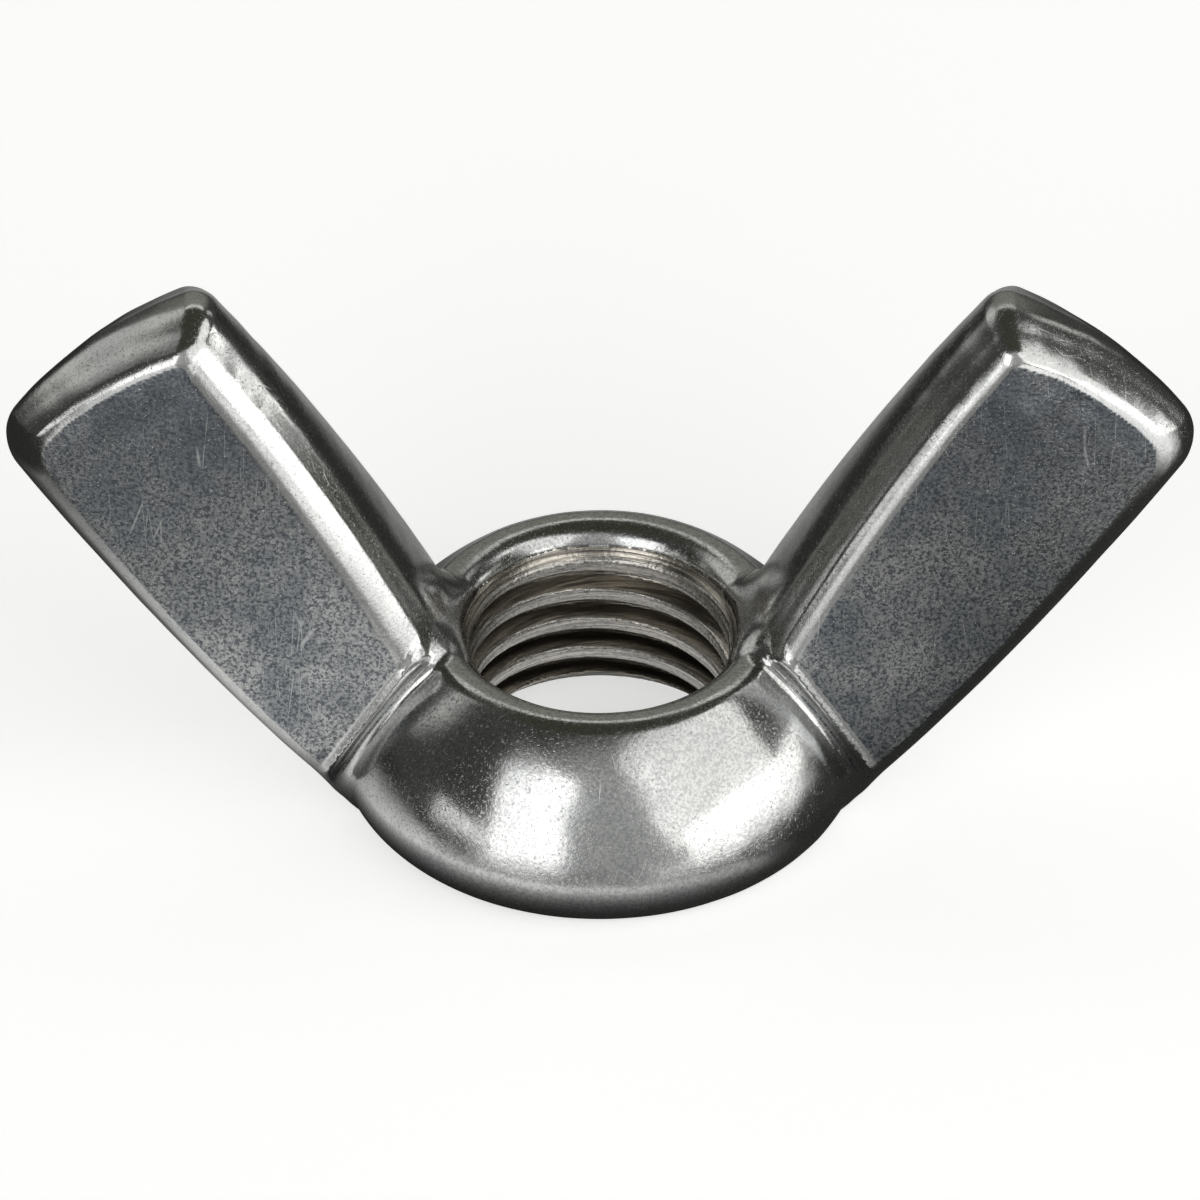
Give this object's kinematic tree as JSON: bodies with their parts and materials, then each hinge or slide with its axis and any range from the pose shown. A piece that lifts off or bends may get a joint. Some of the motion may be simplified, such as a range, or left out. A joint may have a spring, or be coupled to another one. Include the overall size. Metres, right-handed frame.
{
  "type": "wing nut",
  "caption": "Forged wing nut: a domed, tapped hub with two angular paddle wings for turning by hand, bright plated.",
  "frame": {"origin": "centre of the flat seating face, on the thread axis", "axes": "+Z along the thread axis, from the seating face towards the wing tips; +X along the wing span; +Y across the wings' thickness"},
  "size_m": [0.04, 0.0178, 0.02],
  "materials": {
    "bright_plate": "bright nickel-like plating over a forged surface, fine grain"
  },
  "bodies": {
    "root": {"wing_nut": "bright_plate"}
  },
  "joints": []
}
